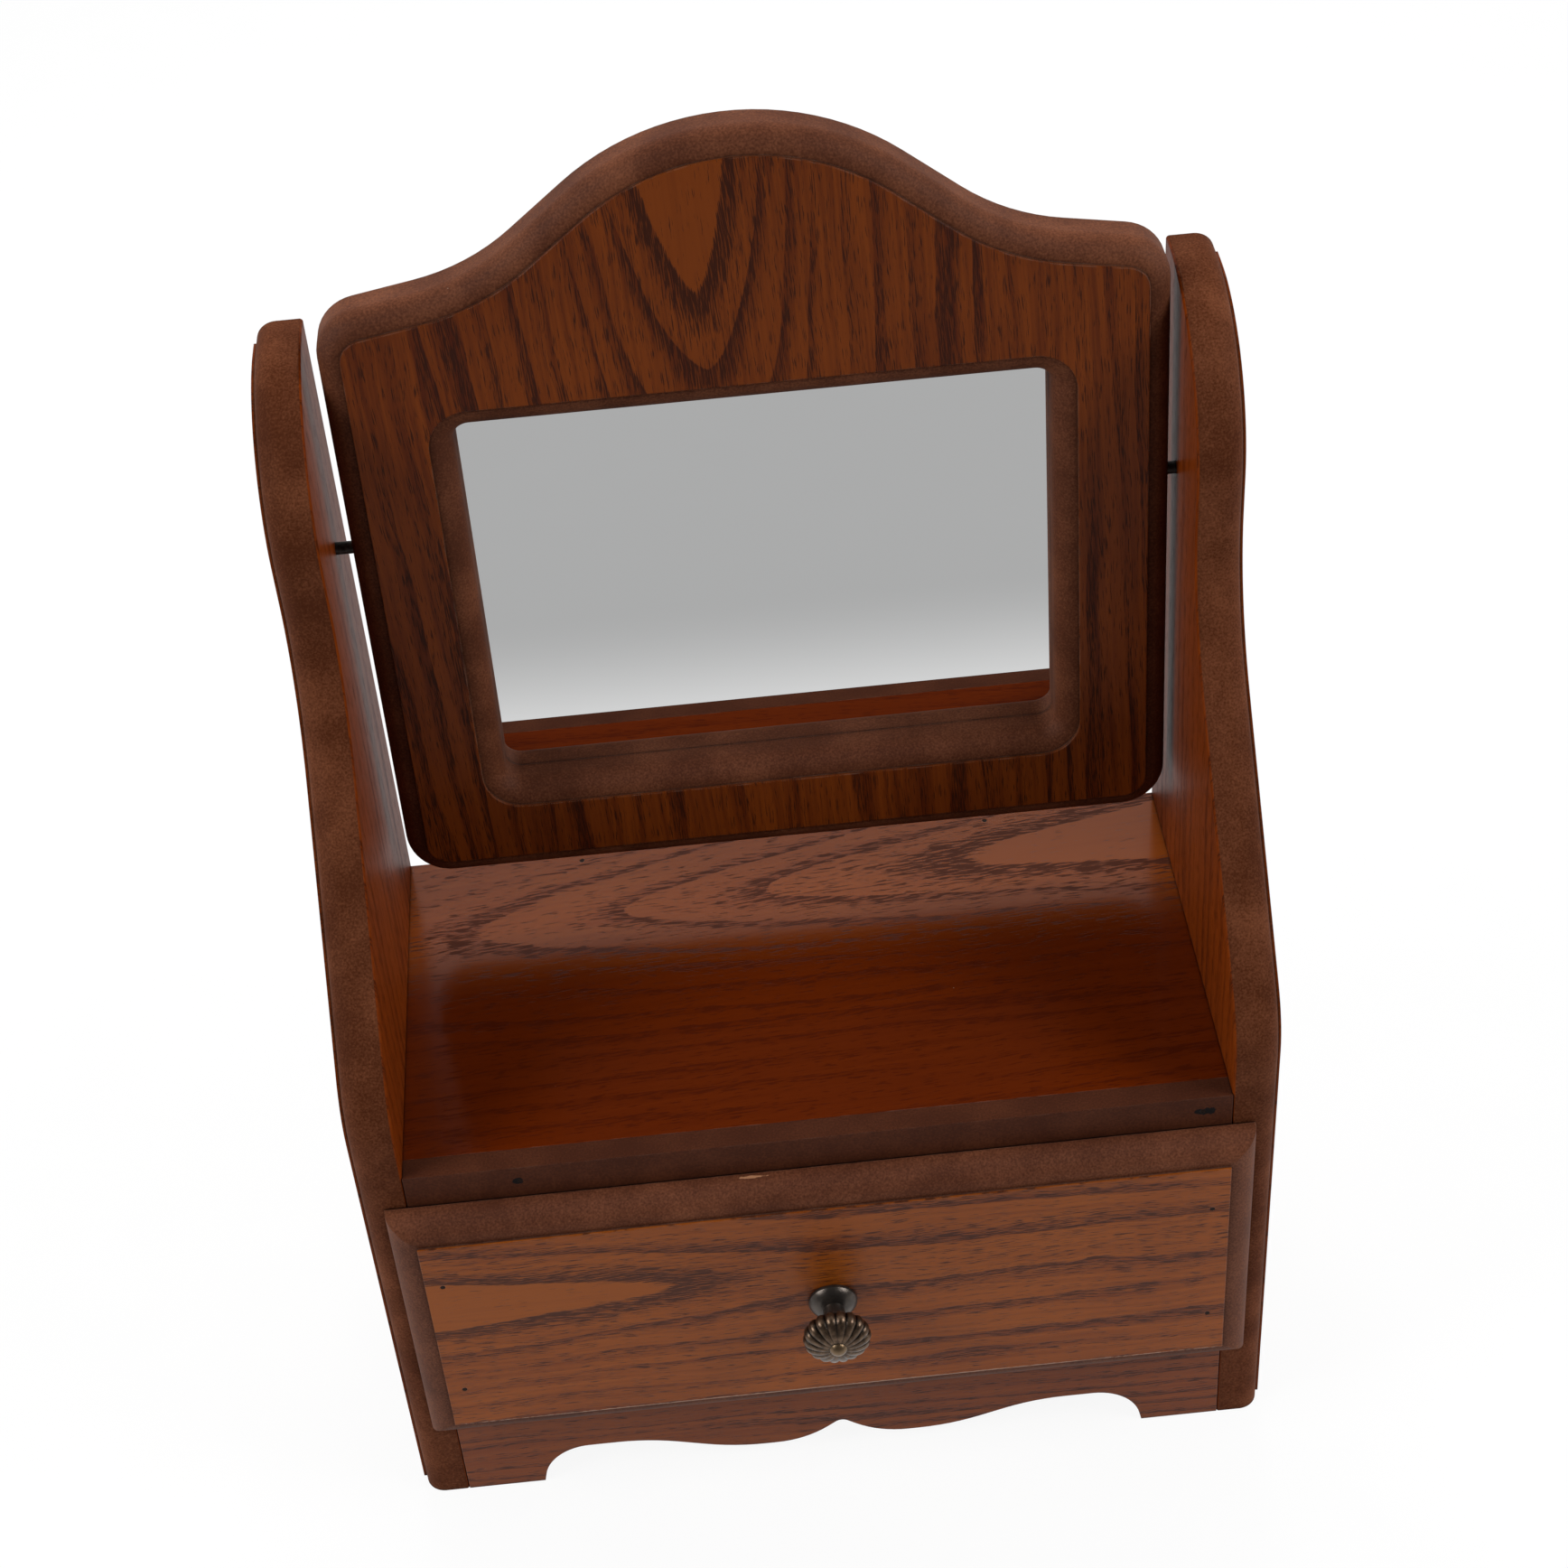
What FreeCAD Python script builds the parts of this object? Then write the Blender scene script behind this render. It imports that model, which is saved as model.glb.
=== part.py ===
"""Table-top vanity mirror: scroll side panels, shelf, overlay drawer and a tilting arched mirror.

The frame has +Z up and +X to the right, and the drawer opens towards -Y. The origin is on the floor,
under the middle of the object. All lengths are in millimetres.
"""
import FreeCAD, Part
import math
import os
import re
import Sketcher

# Driving dimensions, one cell of the sheet each

SIZES = {
    # Side panels
    "inner_width": 196.0,
    "panel_thickness": 12.0,
    "panel_depth": 110.0,
    "belly_rise": 19.0,
    "belly_radius": 30.0,
    "throat_run": 31.5,
    "throat_radius": 56.0,
    "crown_rise": 50.6,
    "crown_depth": 44.5,
    "crown_flat": 4.5,
    "inner_arris_radius": 0.8,
    # Routed edge of the panels and the mirror frame: a round-over below a small step
    "roundover_radius": 5.0,
    "quirk_depth": 0.9,
    "quirk_ledge": 0.4,
    # Shelf, drawer bay and apron
    "shelf_height": 120.0,
    "shelf_thickness": 12.0,
    "rail_thickness": 6.0,
    "bay_floor_height": 33.0,
    "bottom_thickness": 9.0,
    "back_thickness": 9.0,
    "apron_thickness": 9.0,
    "foot_width": 19.8,
    "scallop_height": 12.8,
    "lobe_height": 5.9,
    "cusp_height": 13.2,
    "scallop_end_radius": 12.5,
    "scallop_radius": 52.0,
    "lobe_radius": 22.0,
    "cusp_radius": 2.5,
    # Drawer
    "drawer_side_lap": 5.6,
    "drawer_upper_lap": 2.4,
    "drawer_lower_lap": 2.8,
    "drawer_front_thickness": 7.8,
    "drawer_edge_land": 0.7,
    "drawer_quirk_ledge": 0.7,
    "drawer_front_gap": 0.3,
    "drawer_side_gap": 1.0,
    "drawer_floor_gap": 0.3,
    "drawer_top_gap": 4.0,
    "drawer_back_gap": 3.0,
    "drawer_side_thickness": 9.0,
    "drawer_back_thickness": 9.0,
    "drawer_back_drop": 4.0,
    "drawer_bottom_thickness": 3.0,
    "drawer_bottom_rise": 4.0,
    "groove_depth": 4.0,
    "groove_clearance": 0.2,
    # Knob and its screw
    "knob_base_radius": 5.9,
    "knob_base_rim": 0.7,
    "knob_base_height": 3.0,
    "knob_base_dome_radius": 4.6,
    "knob_neck_radius": 2.7,
    "melon_radius": 8.25,
    "melon_side_radius": 2.7,
    "melon_front_radius": 8.5,
    "melon_height": 11.2,
    "rib_radius": 1.6,
    "rib_depth": 0.85,
    "rib_root": 0.4,
    "button_radius": 2.15,
    "button_height": 1.3,
    "screw_radius": 2.0,
    "screw_head_radius": 4.0,
    "screw_head_height": 2.4,
    "screw_reach": 7.0,
    "screw_clearance": 0.05,
    # Brads and tacks
    "brad_radius": 0.6,
    "brad_length": 25.0,
    "brad_clearance": 0.02,
    "panel_brad_inset": 22.0,
    "shelf_brad_half_spacing": 53.0,
    "rail_brad_left_inset": 27.2,
    "rail_brad_right_inset": 7.0,
    "rail_brad_drop": 4.4,
    "drawer_brad_rise": 10.5,
    "drawer_brad_drop": 10.2,
    "tack_radius": 0.6,
    "tack_length": 8.0,
    "tack_head_radius": 1.8,
    "tack_head_height": 0.6,
    "tack_inset": 4.0,
    # Mirror
    "frame_side_gap": 2.9,
    "frame_height": 192.6,
    "frame_thickness": 12.0,
    "frame_side_shift": 1.0,
    "shoulder_fall": 6.1,
    "frame_corner_radius": 11.0,
    "stile_width": 27.1,
    "head_height": 65.6,
    "opening_rise": 26.0,
    "opening_corner_radius": 4.0,
    "rebate_width": 5.0,
    "rebate_depth": 2.0,
    "glass_clearance": 0.5,
    "backing_overlap": 10.0,
    "backing_thickness": 2.5,
    # Pivot
    "mirror_gap": 20.1,
    "pivot_inset": 18.7,
    "pin_radius": 1.5,
    "pin_panel_depth": 8.0,
    "pin_frame_depth": 12.0,
    "pin_bore_run": 2.0,
    "pin_clearance": 0.05,
    "press_clearance": 0.02,
    # Common length that cutting tools run past the material
    "overrun": 2.0,
}

# Angles, counts, and the tolerance for telling edges apart

MIRROR_TILT_DEGREES = 3.0
RIB_COUNT = 18
MELON_START_DEGREES = -90
MELON_TURN_DEGREES = 52
MELON_END_DEGREES = 102
EDGE_TOLERANCE = 1e-4

# The mirror's arch: shares of the frame's half width, then of the half span between its valleys

VALLEY_SPAN_SHARE = 0.62671
ARCH_RISE_SHARE = 0.51342
ARCH_RADIUS_SHARE = 1.00671
VALLEY_RADIUS_SHARE = 0.83893

# The knob's flat back lies at this share of the radius that rounds its sides

MELON_BACK_SHARE = 0.92

# Sizes that follow from the driving dimensions

DERIVED = {
    "inner_half": "inner_width / 2",
    "front_y": "(drawer_front_gap + drawer_front_thickness + knob_projection - panel_depth) / 2",
    "back_y": "front_y + panel_depth",
    "melon_side_centre": "melon_radius - melon_side_radius",
    "melon_step": "melon_front_radius - melon_side_radius",
    "melon_front_centre": f"melon_side_centre - melon_step * cos({MELON_TURN_DEGREES})",
    "melon_front_drop": f"melon_step * sin({MELON_TURN_DEGREES})",
    "core_side_radius": "melon_side_radius - rib_depth",
    "core_front_radius": "melon_front_radius - rib_depth",
    "melon_back": f"core_side_radius * {MELON_BACK_SHARE}",
    "button_offset": "button_radius - melon_front_centre",
    "core_rise": "sqrt(core_front_radius ^ 2 - button_offset ^ 2) - melon_front_drop",
    "rib_rise": "sqrt(melon_front_radius ^ 2 - button_offset ^ 2) - melon_front_drop",
    "rib_chord": "rib_depth + rib_root",
    "rib_half_width": "sqrt(rib_radius ^ 2 - (rib_radius - rib_chord) ^ 2)",
    "knob_projection": "melon_height + rib_rise + button_height",
    "button_dome_radius": "(button_radius ^ 2 + button_height ^ 2) / (2 * button_height)",
    "panel_height": "pivot_height + crown_rise",
    "belly_height": "shelf_height + belly_rise",
    "crown_radius": "crown_depth - crown_flat",
    "throat_y": "back_y - crown_depth",
    "throat_height": "panel_height - crown_radius - throat_run",
    "routed_inset": "roundover_radius + quirk_ledge",
    "bay_ceiling": "shelf_height - shelf_thickness",
    "back_front_y": "back_y - back_thickness",
    "bottom_underside": "bay_floor_height - bottom_thickness",
    "scallop_half": "inner_half - foot_width",
    "drawer_front_y": "front_y - drawer_front_gap",
    "drawer_face_y": "drawer_front_y - drawer_front_thickness",
    "drawer_front_width": "inner_width + 2 * drawer_side_lap",
    "drawer_front_low": "bay_floor_height - drawer_lower_lap",
    "drawer_front_high": "bay_ceiling + drawer_upper_lap",
    "drawer_front_height": "drawer_front_high - drawer_front_low",
    "drawer_middle": "(drawer_front_low + drawer_front_high) / 2",
    "drawer_roundover_radius": "drawer_front_thickness - quirk_depth - drawer_edge_land",
    "drawer_inset": "drawer_roundover_radius + drawer_quirk_ledge",
    "drawer_half": "inner_half - drawer_side_gap",
    "drawer_inner_half": "drawer_half - drawer_side_thickness",
    "drawer_low": "bay_floor_height + drawer_floor_gap",
    "drawer_high": "bay_ceiling - drawer_top_gap",
    "drawer_end_y": "back_front_y - drawer_back_gap",
    "drawer_panel_low": "drawer_low + drawer_bottom_rise",
    "drawer_panel_high": "drawer_panel_low + drawer_bottom_thickness",
    "drawer_back_high": "drawer_high - drawer_back_drop",
    "frame_width": "inner_width - 2 * frame_side_gap",
    "frame_half": "frame_width / 2",
    "valley_half_span": f"frame_half * {VALLEY_SPAN_SHARE}",
    "arch_rise": f"valley_half_span * {ARCH_RISE_SHARE}",
    "arch_radius": f"valley_half_span * {ARCH_RADIUS_SHARE}",
    "valley_radius": f"valley_half_span * {VALLEY_RADIUS_SHARE}",
    "valley_offset": "arch_radius - arch_rise",
    "arch_reach": "sqrt(valley_half_span ^ 2 + valley_offset ^ 2 - arch_radius ^ 2)",
    "arch_slope": "(arch_radius ^ 2 - valley_offset ^ 2)"
                  " / (valley_offset * valley_half_span + arch_radius * arch_reach)",
    "valley_level": "frame_height / 2 - arch_rise",
    "shoulder_level": "valley_level - shoulder_fall",
    "apex_level": "valley_level + arch_slope * valley_half_span",
    "opening_width": "frame_width - 2 * stile_width",
    "opening_height": "frame_height - opening_rise - head_height",
    "opening_low": "opening_rise - frame_height / 2",
    "opening_middle": "opening_low + opening_height / 2",
    "frame_back": "frame_thickness / 2",
    "pane_width": "opening_width + 2 * rebate_width",
    "pane_height": "opening_height + 2 * rebate_width",
    "backing_width": "pane_width + 2 * backing_overlap",
    "backing_height": "pane_height + 2 * backing_overlap",
    "pivot_y": "back_y - pivot_inset",
    "pivot_height": "shelf_height + mirror_gap + frame_height / 2",
}

# Places along the apron's lower edge, as shares of its half span

SCALLOP_END_SHARE = 0.967
SCALLOP_FALL_SHARE = 0.64
LOBE_START_SHARE = 0.358
LOBE_END_SHARE = 0.123

X_AXIS = FreeCAD.Vector(1, 0, 0)
Y_AXIS = FreeCAD.Vector(0, 1, 0)
Z_AXIS = FreeCAD.Vector(0, 0, 1)
UPRIGHT = FreeCAD.Rotation(X_AXIS, 90)
SIDEWAYS = FreeCAD.Rotation(FreeCAD.Vector(1, 1, 1), 120)
AXIS_TURNS = {
    "+X": FreeCAD.Rotation(Z_AXIS, X_AXIS),
    "-X": FreeCAD.Rotation(Z_AXIS, -X_AXIS),
    "+Y": FreeCAD.Rotation(Z_AXIS, Y_AXIS),
    "-Y": FreeCAD.Rotation(Z_AXIS, -Y_AXIS),
    "-Z": FreeCAD.Rotation(Z_AXIS, -Z_AXIS),
}

doc = FreeCAD.newDocument("vanity_mirror")
sheet = doc.addObject("Spreadsheet::Sheet", "size")
for row, (alias, number) in enumerate(SIZES.items(), start=1):
    sheet.set(f"A{row}", alias)
    sheet.set(f"B{row}", str(number))
    sheet.setAlias(f"B{row}", alias)
doc.recompute()

nodes = {}


# Formulas over the sheet

def formula(text):
    """The text with each derived size written out and each driving size pointing at its cell."""
    def written_out(match):
        word = match.group(0)
        if word in DERIVED:
            return "(" + formula(DERIVED[word]) + ")"
        if word in SIZES:
            return "size." + word
        return word
    return re.sub(r"[a-z]+(_[a-z]+)*", written_out, text)


def value(text):
    """The number that a formula gives."""
    return float(sheet.evalExpression(formula(text)))


def bind(thing, **formulas):
    """Tie the named properties of an object to formulas."""
    for name, text in formulas.items():
        thing.setExpression(name, formula(text))


def place(thing, position, rotation=None):
    """Tie an object's place to three formulas, with a fixed turn."""
    if rotation is not None:
        thing.Placement.Rotation = rotation
    for axis, text in zip("xyz", position):
        thing.setExpression(f"Placement.Base.{axis}", formula(text))


def keep(name, thing):
    """Make an object the sub-part of this name."""
    thing.Label = name
    nodes[name] = thing


# Sketches

def pin_down(sketch, geometry, end, x, y):
    """Dimension a sketch point from the sketch's origin, or set it on an axis where a distance is none."""
    for text, kind, axis in ((x, "DistanceX", -2), (y, "DistanceY", -1)):
        if "size." not in formula(text):
            sketch.addConstraint(Sketcher.Constraint("PointOnObject", geometry, end, axis))
            continue
        index = sketch.addConstraint(Sketcher.Constraint(kind, -1, 1, geometry, end, value(text)))
        sketch.setExpression(f"Constraints[{index}]", formula(text))


def rounded_outline(sketch, corners):
    """Draw a closed outline of straight sides, with each corner (x, y, radius) rounded to its radius."""
    count = len(corners)
    points = [FreeCAD.Vector(value(x), value(y), 0) for x, y, _ in corners]
    entries, exits, arcs = [], [], []
    for i, (_, _, radius) in enumerate(corners):
        arriving = (points[i] - points[i - 1]).normalize()
        leaving = (points[(i + 1) % count] - points[i]).normalize()
        turn = math.atan2(arriving.cross(leaving).z, arriving.dot(leaving))
        size = value(radius) if radius else 0
        reach = size * math.tan(abs(turn) / 2)
        entries.append(points[i] - arriving * reach)
        exits.append(points[i] + leaving * reach)
        arcs.append((size, turn, arriving))
    sides = [Part.LineSegment(exits[i], entries[(i + 1) % count]) for i in range(count)]
    lines = [sketch.addGeometry(side) for side in sides]
    for i, (x, y, radius) in enumerate(corners):
        before, after = lines[i - 1], lines[i]
        if not radius:
            sketch.addConstraint(Sketcher.Constraint("Coincident", before, 2, after, 1))
            pin_down(sketch, after, 1, x, y)
            continue
        size, turn, arriving = arcs[i]
        side = math.copysign(1, turn)
        inward = FreeCAD.Vector(-arriving.y, arriving.x, 0) * side
        centre = entries[i] + inward * size
        start = math.atan2(-inward.y, -inward.x)
        span = (start, start + turn) if turn > 0 else (start + turn, start)
        arc = sketch.addGeometry(Part.ArcOfCircle(Part.Circle(centre, Z_AXIS, size), *span))
        first, last = (1, 2) if turn > 0 else (2, 1)
        sketch.addConstraint(Sketcher.Constraint("Tangent", before, 2, arc, first))
        sketch.addConstraint(Sketcher.Constraint("Tangent", arc, last, after, 1))
        index = sketch.addConstraint(Sketcher.Constraint("Radius", arc, size))
        sketch.setExpression(f"Constraints[{index}]", formula(radius))
        corner = sketch.addGeometry(Part.Point(points[i]), True)
        sketch.addConstraint(Sketcher.Constraint("PointOnObject", corner, 1, before))
        sketch.addConstraint(Sketcher.Constraint("PointOnObject", corner, 1, after))
        pin_down(sketch, corner, 1, x, y)


def arc_chain(sketch, runs):
    """Draw a closed loop through points (x, y, radius): each is left straight, or on an arc to the left."""
    count = len(runs)
    points = [FreeCAD.Vector(value(x), value(y), 0) for x, y, _ in runs]
    edges = []
    for i, (_, _, radius) in enumerate(runs):
        start, end = points[i], points[(i + 1) % count]
        if radius is None:
            edges.append(sketch.addGeometry(Part.LineSegment(start, end)))
            continue
        size = value(radius)
        chord = end - start
        height = math.sqrt(max(size ** 2 - (chord.Length / 2) ** 2, 0))
        centre = (start + end) / 2 + FreeCAD.Vector(-chord.y, chord.x, 0).normalize() * height
        span = [math.atan2(p.y - centre.y, p.x - centre.x) for p in (start, end)]
        if span[1] < span[0]:
            span[1] += 2 * math.pi
        edges.append(sketch.addGeometry(Part.ArcOfCircle(Part.Circle(centre, Z_AXIS, size), *span)))
    for i, (x, y, radius) in enumerate(runs):
        sketch.addConstraint(Sketcher.Constraint("Coincident", edges[i - 1], 2, edges[i], 1))
        pin_down(sketch, edges[i], 1, x, y)
        if radius is not None:
            index = sketch.addConstraint(Sketcher.Constraint("Radius", edges[i], value(radius)))
            sketch.setExpression(f"Constraints[{index}]", formula(radius))


def sketch_circle(sketch, x, y, radius):
    """A dimensioned circle in a sketch."""
    centre = FreeCAD.Vector(value(x), value(y), 0)
    circle = sketch.addGeometry(Part.Circle(centre, Z_AXIS, value(radius)))
    pin_down(sketch, circle, 3, x, y)
    index = sketch.addConstraint(Sketcher.Constraint("Radius", circle, value(radius)))
    sketch.setExpression(f"Constraints[{index}]", formula(radius))


def rectangle(width, height, x="0", y="0", radius=None):
    """Corners of a rectangle about a middle point."""
    left, right = f"{x} - ({width}) / 2", f"{x} + ({width}) / 2"
    low, high = f"{y} - ({height}) / 2", f"{y} + ({height}) / 2"
    return [(left, low, radius), (right, low, radius), (right, high, radius), (left, high, radius)]


def origin_part(body, role):
    """The origin plane or axis of a body that has this role."""
    return next(feature for feature in body.Origin.OriginFeatures if feature.Role == role)


def body_sketch(body, role, name, rise="0"):
    """A sketch on one of a body's own origin planes, moved along the plane's normal."""
    sketch = body.newObject("Sketcher::SketchObject", name)
    sketch.AttachmentSupport = (origin_part(body, role), [""])
    sketch.MapMode = "FlatFace"
    sketch.setExpression("AttachmentOffset.Base.z", formula(rise))
    return sketch


def pad(body, sketch, length):
    """Pad a sketch to a length."""
    feature = body.newObject("PartDesign::Pad", sketch.Name + "_pad")
    feature.Profile = sketch
    bind(feature, Length=length)
    doc.recompute()
    return feature


def pocket(body, sketch, length, reverse=False):
    """Pocket a sketch to a length, and make sure that it took material away."""
    before = body.Shape.Volume
    feature = body.newObject("PartDesign::Pocket", sketch.Name + "_pocket")
    feature.Profile = sketch
    feature.Reversed = reverse
    bind(feature, Length=length)
    doc.recompute()
    if body.Shape.Volume >= before:
        raise RuntimeError(f"{feature.Name} cuts nothing")
    return feature


def fillet(body, base, radius, chosen):
    """Round the edges of a feature that a test picks by their middle point and bounding box."""
    names = [f"Edge{i}" for i, edge in enumerate(base.Shape.Edges, start=1) if chosen(edge)]
    feature = body.newObject("PartDesign::Fillet", base.Name + "_round")
    feature.Base = (base, names)
    bind(feature, Radius=radius)
    doc.recompute()
    return feature


def lies_at(edge, **levels):
    """Whether an edge lies wholly at the given level of each named axis."""
    box = edge.BoundBox
    offsets = [getattr(box, axis + end) - level for axis, level in levels.items() for end in ("Min", "Max")]
    return max(map(abs, offsets)) < EDGE_TOLERANCE


# Solids

def board(name, low, high):
    """A plain board between two corners."""
    box = doc.addObject("Part::Box", name)
    length, width, height = (f"({b}) - ({a})" for a, b in zip(low, high))
    bind(box, Length=length, Width=width, Height=height)
    place(box, low)
    return box


def rod(name, start, way, radius, length):
    """A round rod from a start point along a direction."""
    cylinder = doc.addObject("Part::Cylinder", name)
    bind(cylinder, Radius=radius, Height=length)
    place(cylinder, start, AXIS_TURNS.get(way))
    return cylinder


def group(name, things):
    """Separate solids in one object."""
    compound = doc.addObject("Part::Compound", name)
    compound.Links = things
    return compound


def fuse(name, things):
    """One solid from several."""
    joined = doc.addObject("Part::MultiFuse", name)
    joined.Shapes = things
    return joined


def cut(name, base, tool):
    """A solid with a tool taken out of it."""
    result = doc.addObject("Part::Cut", name)
    result.Base = base
    result.Tool = tool
    return result


def face_layer(name, outline, inset, way, thickness):
    """The thin veneered face that stands proud of a routed edge: the outline drawn in, and raised."""
    inner = doc.addObject("Part::Offset2D", name + "_outline")
    inner.Source = outline
    inner.setExpression("Value", "-(" + formula(inset) + ")")
    layer = doc.addObject("Part::Extrusion", name)
    layer.Base = inner
    layer.DirMode = "Custom"
    layer.Dir = way
    layer.Solid = True
    bind(layer, LengthFwd=thickness)
    return layer


def brads(name, starts):
    """Round nails at the given starts and directions, with the tool that drills their holes."""
    shafts, drills = [], []
    bore, depth = "brad_radius + brad_clearance", "brad_length + brad_clearance"
    for i, (start, way) in enumerate(starts):
        shafts.append(rod(f"{name}_{i}", start, way, "brad_radius", "brad_length"))
        drills.append(rod(f"{name}_drill_{i}", start, way, bore, depth))
    return group(name, shafts), group(name + "_drills", drills)


# Case

def panel_corners(overhang):
    """The scroll outline of a side panel, with its foot and back edge moved out by an overhang."""
    return [
        ("front_y", f"-({overhang})", None),
        ("front_y", "belly_height", "belly_radius"),
        ("throat_y", "throat_height", "throat_radius"),
        ("throat_y", "panel_height", "crown_radius"),
        (f"back_y + {overhang}", "panel_height", None),
        (f"back_y + {overhang}", f"-({overhang})", None),
    ]


def side_panel_blank():
    """The right side panel with its routed front edge, before it is drilled."""
    body = doc.addObject("PartDesign::Body", "panel_body")
    outline = body_sketch(body, "YZ_Plane", "panel_outline", "inner_half")
    rounded_outline(outline, panel_corners("0"))
    blank = pad(body, outline, "panel_thickness - quirk_depth")
    outer = value("inner_half + panel_thickness - quirk_depth")
    inner = value("inner_half")
    back = value("back_y")

    def on_scroll(edge, level):
        return lies_at(edge, X=level) and not lies_at(edge, Z=0) and not lies_at(edge, Y=back)

    routed = fillet(body, blank, "roundover_radius", lambda edge: on_scroll(edge, outer))
    fillet(body, routed, "inner_arris_radius", lambda edge: on_scroll(edge, inner))
    sketch = doc.addObject("Sketcher::SketchObject", "panel_face_sketch")
    rounded_outline(sketch, panel_corners("routed_inset"))
    place(sketch, ("inner_half + panel_thickness - quirk_depth", "0", "0"), SIDEWAYS)
    layer = face_layer("panel_face", sketch, "routed_inset", X_AXIS, "quirk_depth")
    return fuse("panel_blank", [body, layer])


def panel_brad_places():
    """Where brads enter the outer faces of the panels, for both sides."""
    shelf_z = "shelf_height - shelf_thickness / 2"
    bottom_z = "bay_floor_height - bottom_thickness / 2"
    back_y = "back_y - back_thickness / 2"
    places = [
        ("front_y + rail_thickness + panel_brad_inset", shelf_z),
        ("back_front_y - panel_brad_inset", shelf_z),
        ("front_y + apron_thickness + panel_brad_inset", bottom_z),
        ("back_front_y - panel_brad_inset", bottom_z),
        (back_y, "bottom_underside + panel_brad_inset"),
        (back_y, "bay_ceiling - panel_brad_inset"),
        ("front_y + (routed_inset + apron_thickness) / 2", "bay_floor_height / 2"),
    ]
    starts = []
    for y, z in places:
        starts.append((("inner_half + panel_thickness", y, z), "-X"))
        starts.append((("-inner_half - panel_thickness", y, z), "+X"))
    return starts


def pivot_pin(name, side, way):
    """A steel pin from inside a panel into the edge of the mirror frame."""
    length = "pin_panel_depth + inner_half - frame_half + pin_frame_depth"
    start = (f"{side} * (inner_half + pin_panel_depth)", "pivot_y", "pivot_height")
    return rod(name, start, way, "pin_radius", length)


def apron_blank():
    """The scalloped board between the panels, under the drawer."""
    def half(side):
        """Corners from the foot to the lobe beside the middle, on one side."""
        def at(share):
            return f"{side} * scallop_half * {share}"
        return [
            (f"{side} * inner_half", "0", None),
            (f"{side} * scallop_half", "0", None),
            (at(SCALLOP_END_SHARE), "scallop_height", "scallop_end_radius"),
            (at(SCALLOP_FALL_SHARE), "scallop_height", "scallop_radius"),
            (at(LOBE_START_SHARE), "lobe_height", "scallop_radius"),
            (at(LOBE_END_SHARE), "lobe_height", "lobe_radius"),
        ]

    body = doc.addObject("PartDesign::Body", "apron_body")
    outline = body_sketch(body, "XZ_Plane", "apron_outline", "-(front_y + apron_thickness)")
    tops = [("inner_half", "bay_floor_height", None), ("-inner_half", "bay_floor_height", None)]
    cusp = [("0", "cusp_height", "cusp_radius")]
    rounded_outline(outline, half("-1") + cusp + half("1")[::-1] + tops)
    pad(body, outline, "apron_thickness")
    return body


def build_case():
    """The fixed case: panels, shelf, rail, apron, bottom, back, pivot pins and brads."""
    fixings, fixing_drills = brads("panel_brads", panel_brad_places())
    keep("panel_brads", fixings)
    shelf_y = "back_y - back_thickness / 2"
    shelf_xs = ("-shelf_brad_half_spacing", "shelf_brad_half_spacing")
    shelf_starts = [((x, shelf_y, "shelf_height"), "-Z") for x in shelf_xs]
    shelf_fixings, shelf_drills = brads("shelf_back_brads", shelf_starts)
    keep("shelf_back_brads", shelf_fixings)
    rail_z = "shelf_height - rail_brad_drop"
    rail_starts = [
        (("rail_brad_left_inset - inner_half", "front_y", rail_z), "+Y"),
        (("inner_half - rail_brad_right_inset", "front_y", rail_z), "+Y"),
    ]
    rail_fixings, rail_drills = brads("rail_brads", rail_starts)
    keep("rail_brads", rail_fixings)
    drills = group("case_drills", [fixing_drills, shelf_drills, rail_drills])

    keep("right_pivot_pin", pivot_pin("right_pin", "1", "-X"))
    keep("left_pivot_pin", pivot_pin("left_pin", "-1", "+X"))
    seat = rod("pin_seat", ("inner_half - overrun", "pivot_y", "pivot_height"), "+X",
               "pin_radius + press_clearance", "pin_panel_depth + overrun")
    right = cut("panel_right", side_panel_blank(), group("panel_drills", [fixing_drills, seat]))
    left = doc.addObject("Part::Mirroring", "panel_left")
    left.Source = right
    left.Normal = X_AXIS
    keep("right_side_panel", right)
    keep("left_side_panel", left)

    boards = {
        "shelf": (("-inner_half", "front_y + rail_thickness", "bay_ceiling"),
                  ("inner_half", "back_y", "shelf_height")),
        "shelf_front_rail": (("-inner_half", "front_y", "bay_ceiling"),
                             ("inner_half", "front_y + rail_thickness", "shelf_height")),
        "bottom_board": (("-inner_half", "front_y + apron_thickness", "bottom_underside"),
                         ("inner_half", "back_front_y", "bay_floor_height")),
        "back_board": (("-inner_half", "back_front_y", "bottom_underside"),
                       ("inner_half", "back_y", "bay_ceiling")),
    }
    for name, (low, high) in boards.items():
        keep(name, cut(name + "_drilled", board(name + "_blank", low, high), drills))
    keep("apron", cut("apron_drilled", apron_blank(), drills))


# Drawer

def drawer_front_blank():
    """The overlay front: a board routed all round, with its face a step proud."""
    body = doc.addObject("PartDesign::Body", "drawer_front_body")
    outline = body_sketch(body, "XZ_Plane", "drawer_front_outline", "-drawer_front_y")
    rounded_outline(outline, rectangle("drawer_front_width", "drawer_front_height", y="drawer_middle"))
    blank = pad(body, outline, "drawer_front_thickness - quirk_depth")
    front = value("drawer_face_y + quirk_depth")
    fillet(body, blank, "drawer_roundover_radius", lambda edge: lies_at(edge, Y=front))
    face = body_sketch(body, "XZ_Plane", "drawer_face", "-(drawer_face_y + quirk_depth)")
    width, height = "drawer_front_width - 2 * drawer_inset", "drawer_front_height - 2 * drawer_inset"
    rounded_outline(face, rectangle(width, height, y="drawer_middle"))
    pad(body, face, "quirk_depth")
    return body


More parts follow.
